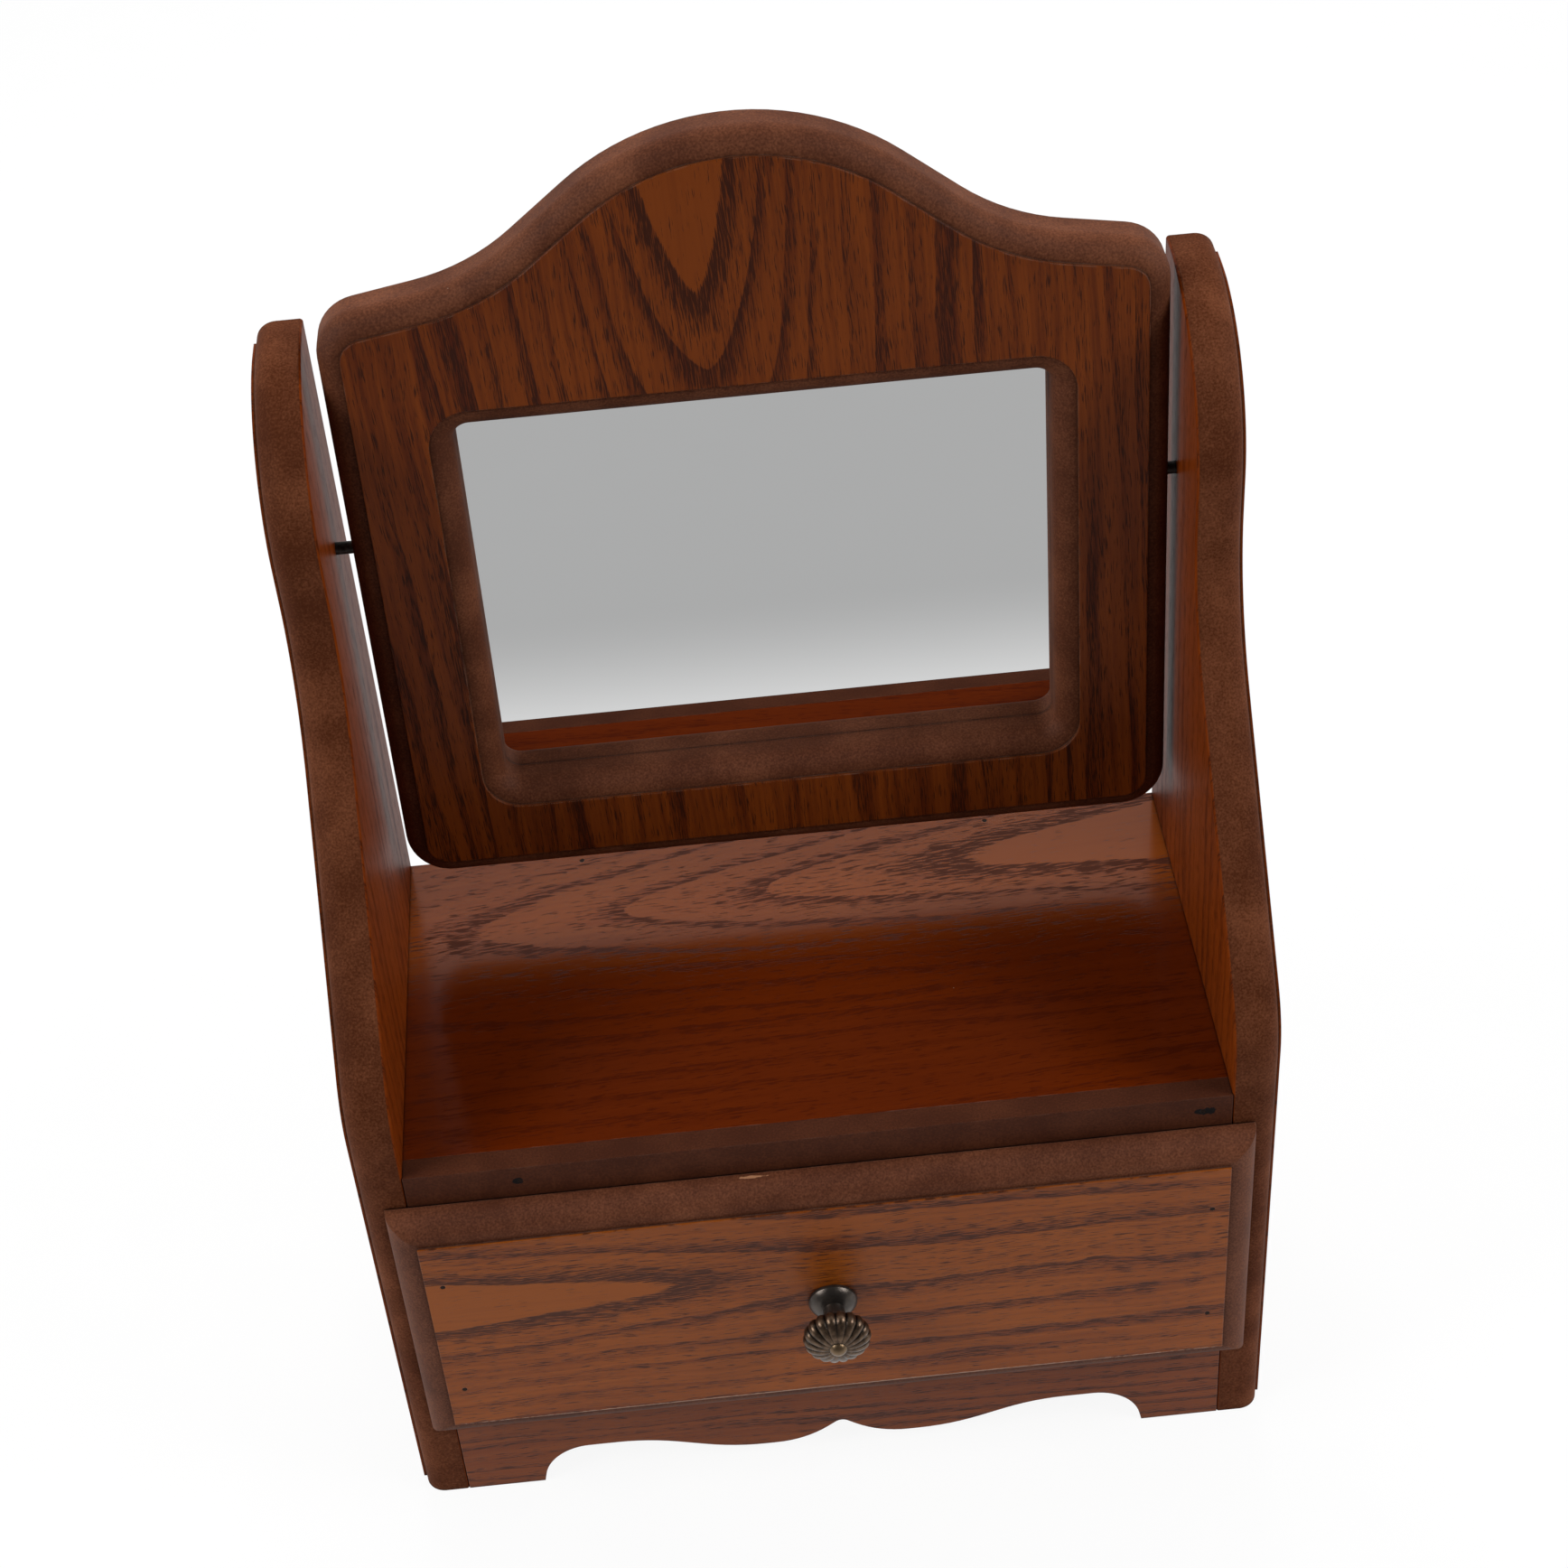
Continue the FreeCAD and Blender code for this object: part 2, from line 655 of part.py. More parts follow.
def knob_core():
    """The turned part of the knob: domed base, neck, the body under the ribs, and the button."""
    turn_across, turn_out = f"cos({MELON_TURN_DEGREES})", f"sin({MELON_TURN_DEGREES})"
    back = "melon_height - melon_back"
    body = doc.addObject("PartDesign::Body", "knob_body")
    section = body_sketch(body, "XZ_Plane", "knob_section")
    arc_chain(section, [
        ("0", "0", None),
        ("knob_base_radius", "0", None),
        ("knob_base_radius", "knob_base_rim", "knob_base_dome_radius"),
        ("knob_neck_radius", "knob_base_height", None),
        ("knob_neck_radius", back, None),
        ("melon_side_centre + sqrt(core_side_radius ^ 2 - melon_back ^ 2)", back, "core_side_radius"),
        (f"melon_side_centre + core_side_radius * {turn_across}",
         f"melon_height + core_side_radius * {turn_out}", "core_front_radius"),
        ("button_radius", "melon_height + core_rise", None),
        ("button_radius", "melon_height + rib_rise", "button_dome_radius"),
        ("0", "knob_projection", None),
    ])
    turned = body.newObject("PartDesign::Revolution", "knob_turned")
    turned.Profile = section
    turned.ReferenceAxis = (origin_part(body, "Z_Axis"), [""])
    doc.recompute()
    hole = body_sketch(body, "XY_Plane", "knob_hole")
    sketch_circle(hole, "0", "0", "screw_radius + screw_clearance")
    pocket(body, hole, "screw_reach + screw_clearance", reverse=True)
    return body


def rib_bend(name, radius, centre_x, centre_z, first, last):
    """A rib's rounded section, turned about a bend's centre between two angles from the widest ring."""
    section = doc.addObject("Sketcher::SketchObject", name + "_section")
    root = f"{radius} - rib_chord"
    arc_chain(section, [(root, "-rib_half_width", "rib_radius"), (root, "rib_half_width", None)])
    turned = doc.addObject("Part::Revolution", name + "_turned")
    turned.Source = section
    turned.Axis = -Y_AXIS
    turned.Angle = last - first
    turned.Solid = True
    bend = group(name, [turned])
    place(bend, (centre_x, "0", centre_z), FreeCAD.Rotation(-Y_AXIS, first))
    return bend


def knob_rib():
    """One convex rib: bent tightly round the back and side of the melon, and flatter over its front."""
    side = rib_bend("rib_side", "melon_side_radius", "melon_side_centre", "melon_height",
                    MELON_START_DEGREES, MELON_TURN_DEGREES)
    front = rib_bend("rib_front", "melon_front_radius", "melon_front_centre",
                     "melon_height - melon_front_drop", MELON_TURN_DEGREES, MELON_END_DEGREES)
    return fuse("rib_whole", [side, front])


def knob():
    """The melon knob: a turned core under convex ribs, each trimmed to its own sector of the circle."""
    sector_degrees = 360 / RIB_COUNT
    sector = rod("rib_sector", ("0", "0", "melon_height - melon_back"), "+Z", "melon_radius + overrun",
                 "melon_back + knob_projection")
    sector.Angle = sector_degrees
    sector.Placement.Rotation = FreeCAD.Rotation(Z_AXIS, -sector_degrees / 2)
    rib = doc.addObject("Part::MultiCommon", "rib_trimmed")
    rib.Shapes = [knob_rib(), sector]
    ribs = []
    for i in range(RIB_COUNT):
        turned = group(f"rib_{i}", [rib])
        turned.Placement.Rotation = FreeCAD.Rotation(Z_AXIS, sector_degrees * i)
        ribs.append(turned)
    whole = fuse("knob_joined", [knob_core()] + ribs)
    place(whole, ("0", "drawer_face_y", "drawer_middle"), UPRIGHT)
    return whole


def build_drawer():
    """The drawer: routed front, sides, back, grooved bottom, knob with its screw, and brads."""
    side_middle = "(drawer_half - drawer_side_thickness / 2)"
    front_starts, back_starts = [], []
    for side, way in (("-1", "+X"), ("1", "-X")):
        for z in ("drawer_panel_high + drawer_brad_rise", "drawer_back_high - drawer_brad_drop"):
            front_starts.append(((f"{side} * {side_middle}", "drawer_face_y", z), "+Y"))
            y = "drawer_end_y - drawer_back_thickness / 2"
            back_starts.append(((f"{side} * drawer_half", y, z), way))
    front_brads, front_drills = brads("drawer_front_brads", front_starts)
    back_brads, back_drills = brads("drawer_back_brads", back_starts)
    keep("drawer_front_brads", front_brads)
    keep("drawer_back_brads", back_brads)

    screw_hole = rod("screw_hole", ("0", "drawer_front_y + overrun", "drawer_middle"), "-Y",
                     "screw_radius + screw_clearance", "drawer_front_thickness + 2 * overrun")
    front_tools = group("front_drills", [front_drills, screw_hole])
    keep("drawer_front", cut("drawer_front_drilled", drawer_front_blank(), front_tools))

    drills = group("drawer_drills", [front_drills, back_drills])
    groove = board("drawer_groove",
                   ("-drawer_inner_half - groove_depth", "drawer_front_y - overrun", "drawer_panel_low"),
                   ("drawer_inner_half + groove_depth", "drawer_end_y + overrun", "drawer_panel_high"))
    for name, side_low, side_high in (("drawer_left_side", "-drawer_half", "-drawer_inner_half"),
                                      ("drawer_right_side", "drawer_inner_half", "drawer_half")):
        blank = board(name + "_blank", (side_low, "drawer_front_y", "drawer_low"),
                      (side_high, "drawer_end_y", "drawer_high"))
        keep(name, cut(name + "_grooved", blank, group(name + "_tools", [groove, drills])))
    back = board("drawer_back_blank",
                 ("-drawer_inner_half", "drawer_end_y - drawer_back_thickness", "drawer_panel_high"),
                 ("drawer_inner_half", "drawer_end_y", "drawer_back_high"))
    keep("drawer_back", cut("drawer_back_drilled", back, drills))
    reach = "(drawer_inner_half + groove_depth - groove_clearance)"
    bottom = board("drawer_bottom_panel", ("-" + reach, "drawer_front_y", "drawer_panel_low"),
                   (reach, "drawer_end_y", "drawer_panel_high"))
    keep("drawer_bottom", bottom)

    keep("drawer_knob", knob())
    seat = ("0", "drawer_front_y", "drawer_middle")
    shank = rod("screw_shank", seat, "-Y", "screw_radius", "drawer_front_thickness + screw_reach")
    head = rod("screw_head", seat, "+Y", "screw_head_radius", "screw_head_height")
    keep("knob_screw", fuse("knob_screw_joined", [shank, head]))


# Mirror, drawn upright about its pivot axis and then leaned back

def frame_corners():
    """The arched outline of the mirror frame, about the pivot."""
    low = "-frame_height / 2"
    corner = "frame_corner_radius"
    return [
        ("-frame_half", low, corner),
        ("frame_half", low, corner),
        ("frame_half", "shoulder_level", corner),
        ("valley_half_span", "valley_level", "valley_radius"),
        ("0", "apex_level", "arch_radius"),
        ("-valley_half_span", "valley_level", "valley_radius"),
        ("-frame_half", "shoulder_level", corner),
    ]


def frame_blank():
    """The arched frame with its routed edges and rear rebate, before it is drilled."""
    body = doc.addObject("PartDesign::Body", "frame_body")
    outline = body_sketch(body, "XZ_Plane", "frame_outline", "-frame_back")
    rounded_outline(outline, frame_corners())
    blank = pad(body, outline, "frame_thickness - quirk_depth")
    front = value("quirk_depth - frame_back")
    routed = fillet(body, blank, "roundover_radius", lambda edge: lies_at(edge, Y=front))
    opening = body_sketch(body, "XZ_Plane", "opening_outline", "frame_back")
    middle, radius = "opening_middle", "opening_corner_radius"
    rounded_outline(opening, rectangle("opening_width", "opening_height", y=middle, radius=radius))
    hole = pocket(body, opening, "frame_thickness")
    half_wide, half_high = value("opening_width / 2"), value("opening_height / 2")

    def round_the_opening(edge):
        across, up = edge.BoundBox.Center.x, edge.BoundBox.Center.z - value(middle)
        outside = max(abs(across) - half_wide, abs(up) - half_high)
        return lies_at(edge, Y=front) and outside < EDGE_TOLERANCE

    fillet(body, hole, "roundover_radius", round_the_opening)
    rebate = body_sketch(body, "XZ_Plane", "rebate_outline", "-frame_back")
    rounded_outline(rebate, rectangle("pane_width", "pane_height", y="opening_middle"))
    pocket(body, rebate, "rebate_depth", reverse=True)

    sketch = doc.addObject("Sketcher::SketchObject", "frame_face_sketch")
    rounded_outline(sketch, frame_corners())
    place(sketch, ("0", "quirk_depth - frame_back", "0"), UPRIGHT)
    layer = face_layer("frame_face", sketch, "routed_inset", -Y_AXIS, "quirk_depth")
    window = doc.addObject("PartDesign::Body", "window_body")
    window_sketch = body_sketch(window, "XZ_Plane", "window_outline", "frame_back - quirk_depth - overrun")
    wide, high = "opening_width + 2 * routed_inset", "opening_height + 2 * routed_inset"
    radius = "opening_corner_radius + routed_inset"
    rounded_outline(window_sketch, rectangle(wide, high, y="opening_middle", radius=radius))
    pad(window, window_sketch, "quirk_depth + 2 * overrun")
    return fuse("frame_joined", [body, cut("frame_face_window", layer, window)])


def build_mirror():
    """The tilting mirror: frame, glass, backing board and tacks, leaned back about the pivot axis."""
    tack_places = []
    x_reach = "(backing_width / 2 - tack_inset)"
    z_reach = "(backing_height / 2 - tack_inset)"
    for side in ("-1", "1"):
        for level in ("-1", "1"):
            tack_places.append((f"{side} * {x_reach}", f"opening_middle + {level} * {z_reach}"))
    for level in ("-1", "1"):
        tack_places.append(("0", f"opening_middle + {level} * {z_reach}"))
    back = "frame_back + backing_thickness"
    tacks, drills = [], []
    for i, (x, z) in enumerate(tack_places):
        shaft = rod(f"tack_shaft_{i}", (x, back, z), "-Y", "tack_radius", "tack_length")
        head = rod(f"tack_head_{i}", (x, back, z), "+Y", "tack_head_radius", "tack_head_height")
        tacks.append(fuse(f"tack_{i}", [shaft, head]))
        drills.append(rod(f"tack_drill_{i}", (x, back, z), "-Y", "tack_radius + brad_clearance",
                          "tack_length + brad_clearance"))
    tack_drills = group("tack_drills", drills)
    bore_length = "pin_frame_depth + pin_bore_run"
    bores = [
        rod("right_bore", ("frame_half + overrun", "0", "0"), "-X", "pin_radius + pin_clearance",
            f"{bore_length} + overrun"),
        rod("left_bore", ("-frame_half - overrun", "0", "0"), "+X", "pin_radius + pin_clearance",
            f"{bore_length} + overrun"),
    ]
    glass_half = "(pane_width / 2 - glass_clearance)"
    glass_rise = "(pane_height / 2 - glass_clearance)"
    glass = board("glass_pane",
                  ("-" + glass_half, "frame_back - rebate_depth", f"opening_middle - {glass_rise}"),
                  (glass_half, "frame_back", f"opening_middle + {glass_rise}"))
    backing_rise = "backing_height / 2"
    backing = board("backing_blank",
                    ("-backing_width / 2", "frame_back", f"opening_middle - {backing_rise}"),
                    ("backing_width / 2", back, f"opening_middle + {backing_rise}"))
    leaning = {
        "mirror_frame": cut("frame_drilled", frame_blank(), group("frame_drills", [tack_drills] + bores)),
        "mirror_glass": group("glass_placed", [glass]),
        "mirror_backing": cut("backing_drilled", backing, tack_drills),
        "backing_tacks": group("tack_group", tacks),
    }
    lean = FreeCAD.Rotation(X_AXIS, -MIRROR_TILT_DEGREES)
    for name, thing in leaning.items():
        place(thing, ("frame_side_shift", "pivot_y", "pivot_height"), lean)
        keep(name, thing)


# Build, check and write

build_case()
build_drawer()
build_mirror()
doc.recompute()

for thing in doc.Objects:
    if "Invalid" in thing.State or "Error" in thing.State:
        raise RuntimeError(f"{thing.Name} failed: {thing.State}")
for name, thing in nodes.items():
    if thing.Shape.isNull() or not thing.Shape.isValid() or not thing.Shape.Solids:
        raise RuntimeError(f"{name} has no valid solid")

os.makedirs("parts", exist_ok=True)
for name, thing in nodes.items():
    thing.Shape.exportStep(f"parts/{name}.step")
    print(f"{name}: {len(thing.Shape.Solids)} solids, {thing.Shape.Volume:.0f} mm3")
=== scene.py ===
"""Looks for the table-top vanity mirror: stained veneer, routed fibreboard edges, a bronze knob and glass.

Everything is in metres, in the frame of the loaded model: +Z up, +X right, the drawer opens to -Y.
"""
import bpy
import math
from collections import namedtuple
from functools import reduce
from mathutils import Matrix, Vector


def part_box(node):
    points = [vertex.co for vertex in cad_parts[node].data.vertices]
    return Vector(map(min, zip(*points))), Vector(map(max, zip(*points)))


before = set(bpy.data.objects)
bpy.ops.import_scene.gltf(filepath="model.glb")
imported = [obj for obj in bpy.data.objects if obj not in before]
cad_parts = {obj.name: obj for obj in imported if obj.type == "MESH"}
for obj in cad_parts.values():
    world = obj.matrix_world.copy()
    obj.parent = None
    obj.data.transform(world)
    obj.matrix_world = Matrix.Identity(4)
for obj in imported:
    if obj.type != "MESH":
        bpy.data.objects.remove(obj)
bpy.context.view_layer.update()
MM = 0.001
X_AXIS, Y_AXIS, Z_AXIS = Vector((1, 0, 0)), Vector((0, 1, 0)), Vector((0, 0, 1))


# Node trees

DOT_CORE = 0.6
EDGE_BEND = (0.86, 0.99)


class Wire:
    """A number that flows through a node tree, with the usual arithmetic."""

    def __init__(self, graph, socket):
        self.graph = graph
        self.socket = socket

    def __add__(self, other):
        return self.graph.math("ADD", self, other)

    def __sub__(self, other):
        return self.graph.math("SUBTRACT", self, other)

    def __rsub__(self, other):
        return self.graph.math("SUBTRACT", other, self)

    def __mul__(self, other):
        return self.graph.math("MULTIPLY", self, other)

    def __truediv__(self, other):
        return self.graph.math("DIVIDE", self, other)

    def root(self):
        return self.graph.math("SQRT", self)

    def power_of_e(self):
        return self.graph.math("EXPONENT", self)

    def fraction(self):
        return self.graph.math("FRACT", self)

    def at_least(self, other):
        return self.graph.math("MAXIMUM", self, other)

    def at_most(self, other):
        return self.graph.math("MINIMUM", self, other)

    def smooth(self, low, high):
        """0 below the low value, 1 above the high value, and a soft step between."""
        feeds = {"Value": self, "From Min": low, "From Max": high}
        made = self.graph.node("ShaderNodeMapRange", feeds, interpolation_type="SMOOTHSTEP")
        return Wire(self.graph, made.outputs[0])


class Graph:
    """Short calls for building the node tree of one material or world."""

    def __init__(self, owner, coordinates="Object"):
        owner.use_nodes = True
        self.owner = owner
        self.tree = owner.node_tree
        self.tree.nodes.clear()
        self.place = self.node("ShaderNodeTexCoord").outputs[coordinates]

    def feed(self, socket, value):
        if isinstance(value, Wire):
            value = value.socket
        if isinstance(value, bpy.types.NodeSocket):
            self.tree.links.new(value, socket)
        else:
            socket.default_value = value

    def node(self, kind, feeds=None, **settings):
        made = self.tree.nodes.new(kind)
        for name, value in settings.items():
            setattr(made, name, value)
        for socket, value in (feeds or {}).items():
            self.feed(made.inputs[socket], value)
        return made

    def math(self, operation, *values):
        made = self.node("ShaderNodeMath", dict(enumerate(values)), operation=operation)
        return Wire(self, made.outputs[0])

    def along(self, direction):
        """How far a surface point lies along a direction."""
        made = self.node("ShaderNodeVectorMath", {0: self.place, 1: direction}, operation="DOT_PRODUCT")
        return Wire(self, made.outputs["Value"])

    def away(self, centre, *stretched_axes):
        """How far a surface point lies from a centre, along axes that are stretched to make an ellipsoid."""
        squares = 0.0
        for axis in stretched_axes:
            offset = self.along(axis) - centre.dot(axis)
            squares = offset * offset + squares
        return squares.root()

    def noise(self, x, y, z=0.0, detail=2.0, roughness=0.5):
        """Noise over three numbers, about one blob to the unit, from 0 to 1."""
        vector = self.node("ShaderNodeCombineXYZ", {0: x, 1: y, 2: z}).outputs[0]
        feeds = {"Vector": vector, "Scale": 1.0, "Detail": detail, "Roughness": roughness}
        return Wire(self, self.node("ShaderNodeTexNoise", feeds).outputs[0])

    def grit(self, scale, detail=2.0):
        """Noise of even grain in space."""
        feeds = {"Vector": self.place, "Scale": scale, "Detail": detail}
        return Wire(self, self.node("ShaderNodeTexNoise", feeds).outputs[0])

    def specks(self, spacing, radius, share):
        """Small round dots, at most one to a cell, on a share of the cells."""
        cells = self.node("ShaderNodeTexVoronoi", {"Vector": self.place, "Scale": 1 / spacing})
        size = radius / spacing
        near = 1 - Wire(self, cells.outputs["Distance"]).smooth(size * DOT_CORE, size)
        split = self.node("ShaderNodeSeparateColor", {0: cells.outputs["Color"]})
        return near * self.math("LESS_THAN", Wire(self, split.outputs[0]), share)

    def mix(self, factor, first, second):
        """A blend of two colours."""
        made = self.node("ShaderNodeMix", {0: factor, 6: first, 7: second}, data_type="RGBA")
        return made.outputs[2]

    def shade(self, colour, factor):
        """A colour made darker or lighter by a number."""
        made = self.node("ShaderNodeVectorMath", {0: colour, "Scale": factor}, operation="SCALE")
        return made.outputs[0]

    def blend(self, factor, first, second):
        """A blend of two numbers."""
        made = self.node("ShaderNodeMix", {0: factor, 2: first, 3: second}, data_type="FLOAT")
        return Wire(self, made.outputs[0])

    def openness(self, distance):
        """1 on open surfaces, towards 0 in corners and grooves of this size."""
        made = self.node("ShaderNodeAmbientOcclusion", {"Distance": distance}, samples=6)
        return Wire(self, made.outputs["AO"])

    def rounded(self, radius):
        """The surface normal, with sharp edges rounded."""
        return self.node("ShaderNodeBevel", {"Radius": radius}, samples=4).outputs[0]

    def edge(self, normal):
        """1 near the edges that a rounded normal bends round."""
        true = self.node("ShaderNodeNewGeometry").outputs["Normal"]
        made = self.node("ShaderNodeVectorMath", {0: true, 1: normal}, operation="DOT_PRODUCT")
        return 1 - Wire(self, made.outputs["Value"]).smooth(*EDGE_BEND)

    def rays(self, *kinds):
        """1 for light paths of the named kinds."""
        path = self.node("ShaderNodeLightPath")
        return reduce(Wire.at_least, [Wire(self, path.outputs[f"Is {kind} Ray"]) for kind in kinds])

    def surface(self, colour, roughness, height, depth, normal=None, **plain):
        """The finished shader: linked colour, roughness and bump, and plain values for the rest."""
        feeds = {"Height": height, "Distance": depth}
        if normal is not None:
            feeds["Normal"] = normal
        bump = self.node("ShaderNodeBump", feeds).outputs[0]
        shader = self.node("ShaderNodeBsdfPrincipled",
                           {"Base Color": colour, "Roughness": roughness, "Normal": bump, **plain})
        self.node("ShaderNodeOutputMaterial", {0: shader.outputs[0]})
        return self.owner


def material_graph(name):
    """A graph for a new material."""
    return Graph(bpy.data.materials.new(name))


# Grain of each board: its rings are nested arches on a centre line, from a nose along that line

SHARP_NOSE, ROUND_NOSE = 0.7 * MM, 5 * MM
FINE_PORES, COARSE_PORES = 0.3 * MM, 0.55 * MM
WIDE_REACH = 90 * MM
Grain = namedtuple("Grain", "across along centre lean run spacing wander nose reach blunt pore",
                   defaults=(0.0, WIDE_REACH, SHARP_NOSE, FINE_PORES))

FRAME_GRAIN = Grain(across=Vector((0.999, 0, 0.045)), along=Vector((0.045, 0, -0.999)), centre=4 * MM,
                    nose=-297.7 * MM, lean=0.5, reach=18 * MM, run=30 * MM, spacing=7 * MM, wander=3 * MM)
DRAWER_GRAIN = Grain(across=Z_AXIS, along=X_AXIS, centre=82 * MM, nose=-40 * MM, lean=0.25, reach=15 * MM,
                     run=38 * MM, spacing=8 * MM, wander=5 * MM)
SHELF_GRAIN = Grain(across=Vector((-0.08, 0.997, 0)), along=Vector((-0.997, -0.08, 0)), centre=45 * MM,
                    nose=-53 * MM, blunt=ROUND_NOSE, lean=0.17, reach=60 * MM, run=160 * MM,
                    spacing=6.2 * MM, wander=4 * MM, pore=COARSE_PORES)
APRON_GRAIN = Grain(across=Z_AXIS, along=X_AXIS, centre=-20 * MM, lean=0.04, run=90 * MM, spacing=4.2 * MM,
                    wander=4 * MM)
PANEL_GRAIN = Grain(across=Y_AXIS, along=Z_AXIS, centre=90 * MM, lean=0.06, run=300 * MM, spacing=6 * MM,
                    wander=6 * MM)
BOX_GRAIN = Grain(across=Vector((0, 0.6, 0.8)), along=X_AXIS, centre=10 * MM, lean=0.05, run=90 * MM,
                  spacing=8 * MM, wander=6 * MM)
SIDE_GRAIN = BOX_GRAIN._replace(across=Vector((0.6, 0, 0.8)), along=Y_AXIS)


# Stains and other colours of the wood

Stain = namedtuple("Stain", "light deep pore")
Fade = namedtuple("Fade", "stain direction start end")

DRAWER_STAIN = Stain((0.275, 0.068, 0.0055, 1), (0.160, 0.032, 0.0030, 1), (0.036, 0.007, 0.002, 1))
FRAME_STAIN = Stain((0.172, 0.036, 0.0032, 1), (0.066, 0.0102, 0.0016, 1), (0.024, 0.0050, 0.0014, 1))
SHELF_STAIN = Stain((0.118, 0.0162, 0.0009, 1), (0.095, 0.0120, 0.0007, 1), (0.066, 0.0078, 0.0006, 1))
# Painted sheen and light: a paler stain for the back of the shelf.
PAINTED_SHEEN_STAIN = Stain((0.185, 0.040, 0.0028, 1), (0.140, 0.025, 0.0018, 1), (0.034, 0.006, 0.0010, 1))
PANEL_STAIN = Stain((0.190, 0.034, 0.0026, 1), (0.120, 0.019, 0.0018, 1), (0.050, 0.009, 0.0015, 1))
APRON_STAIN = Stain((0.205, 0.047, 0.0070, 1), (0.135, 0.027, 0.0048, 1), (0.034, 0.007, 0.0025, 1))
BARE_STAIN = Stain((0.34, 0.205, 0.105, 1), (0.28, 0.155, 0.075, 1), (0.19, 0.098, 0.046, 1))
# Painted sheen and light: the shelf turns to the paler stain towards its back.
SHELF_PAINTED_SHEEN = Fade(PAINTED_SHEEN_STAIN, Y_AXIS, 14 * MM, 38 * MM)
EDGE_TONES = ((0.064, 0.0165, 0.0055, 1), (0.170, 0.056, 0.024, 1))
RAIL_TONES = ((0.050, 0.0115, 0.0035, 1), (0.100, 0.028, 0.010, 1))
BOARD_TONES = ((0.085, 0.045, 0.023, 1), (0.19, 0.115, 0.062, 1))
DUST = (0.42, 0.34, 0.28, 1)
WORN = (0.36, 0.21, 0.145, 1)
BARE_WOOD = (0.36, 0.17, 0.085, 1)
NAIL_STAIN = (0.006, 0.004, 0.004, 1)


# Veneer

WANDER_WIDTH, WANDER_LENGTH = 18 * MM, 45 * MM
WIDE_HEART = 0.55
HEART_EDGE = (-0.02, 0.03)
CLOSE_TO_HEART = (0.05, 0.3)
UNEVEN_RINGS, UNEVEN_LENGTH, UNEVEN_SLICE = 0.7, 120 * MM, 7.0
UNEVENNESS, EVEN_RINGS = 1.6, 1.5
BOLD_RINGS, BOLD_LENGTH, BOLD_SLICE = 0.35, 150 * MM, 11.0
BOLD_RANGE = (0.38, 0.62)
FAINT_BAND, BOLDER_BAND = 0.3, 0.7
BAND_START, BAND_END = (0.0, 0.06), (0.10, 0.65)
PORE_LENGTH, PORE_RAGGEDNESS, PORE_DEPTH = 6 * MM, 0.6, 0.06 * MM
PORES_IN_RINGS, PORES_IN_BANDS, PORES_BY_HEART = 0.05, 0.15, 0.04
PORE_RANGE, PORE_TINT = (0.62, 0.72), 0.85
FILLED_PORE_MATT, OPEN_PORE_MATT = 0.08, 0.5
FIBRE_WIDTH, FIBRE_LENGTH, FIBRE_SLICE = 1.2 * MM, 60 * MM, 3.0
FIBRE_HEIGHT = 0.15
CLOUD_SIZE = 45 * MM
MEAN_TONE, BAND_TONE, FIBRE_TONE, CLOUD_TONE, HEART_TONE = 0.38, 0.4, 1.2, 0.6, 0.3


def veneer(graph, grain, stain, pore_matt):
    """Colour, roughness and height of open-pored veneer: growth rings in nested arches, and their pores."""
    across = graph.along(grain.across) - grain.centre
    along = graph.along(grain.along) - grain.nose
    wander = graph.noise(along / WANDER_LENGTH, across / WANDER_WIDTH) - 0.5
    bent = across + wander * grain.wander
    width = (bent * bent + grain.blunt ** 2).root() - grain.blunt
    lean = (width / -grain.reach).power_of_e() * grain.lean
    grown = (width + along.at_most(grain.run) * lean) / grain.spacing
    heart = (grown.at_least(0.0) * -1.0).power_of_e()
    rings = grown + heart * WIDE_HEART - WIDE_HEART
    uneven = graph.noise(rings * UNEVEN_RINGS, along / UNEVEN_LENGTH, UNEVEN_SLICE) - 0.5
    phase = (rings + uneven * rings.smooth(0.0, EVEN_RINGS) * UNEVENNESS).fraction()
    ringed = grown.smooth(*HEART_EDGE)
    by_heart = heart.smooth(*CLOSE_TO_HEART) * ringed
    bold = graph.noise(rings * BOLD_RINGS, along / BOLD_LENGTH, BOLD_SLICE).smooth(*BOLD_RANGE)
    strength = bold.at_least(by_heart) * BOLDER_BAND + FAINT_BAND
    band = phase.smooth(*BAND_START) * (1 - phase.smooth(*BAND_END)) * ringed * strength
    pores = graph.noise(bent / grain.pore, along / PORE_LENGTH, roughness=PORE_RAGGEDNESS)
    fibre = graph.noise(bent / FIBRE_WIDTH, along / FIBRE_LENGTH, FIBRE_SLICE, detail=3.0)
    cloud = graph.grit(1 / CLOUD_SIZE)
    dashes = pores + band * PORES_IN_BANDS + by_heart * PORES_BY_HEART + ringed * PORES_IN_RINGS
    dashes = dashes.smooth(*PORE_RANGE)
    tone = band * BAND_TONE + (fibre - 0.5) * FIBRE_TONE + (cloud - 0.5) * CLOUD_TONE
    tone = (tone - heart * HEART_TONE + MEAN_TONE).smooth(0.0, 1.0)
    colour = graph.mix(dashes * PORE_TINT, graph.mix(tone, stain.light, stain.deep), stain.pore)
    return colour, dashes * pore_matt, fibre * FIBRE_HEIGHT - dashes


def faded(graph, factor, first, second):
    """A stain that changes into another one by a number."""
    return Stain(*(graph.mix(factor, *pair) for pair in zip(first, second)))


# Boards

Skin = namedtuple("Skin", "direction level")
Mark = namedtuple("Mark", "centre half_sizes colour")

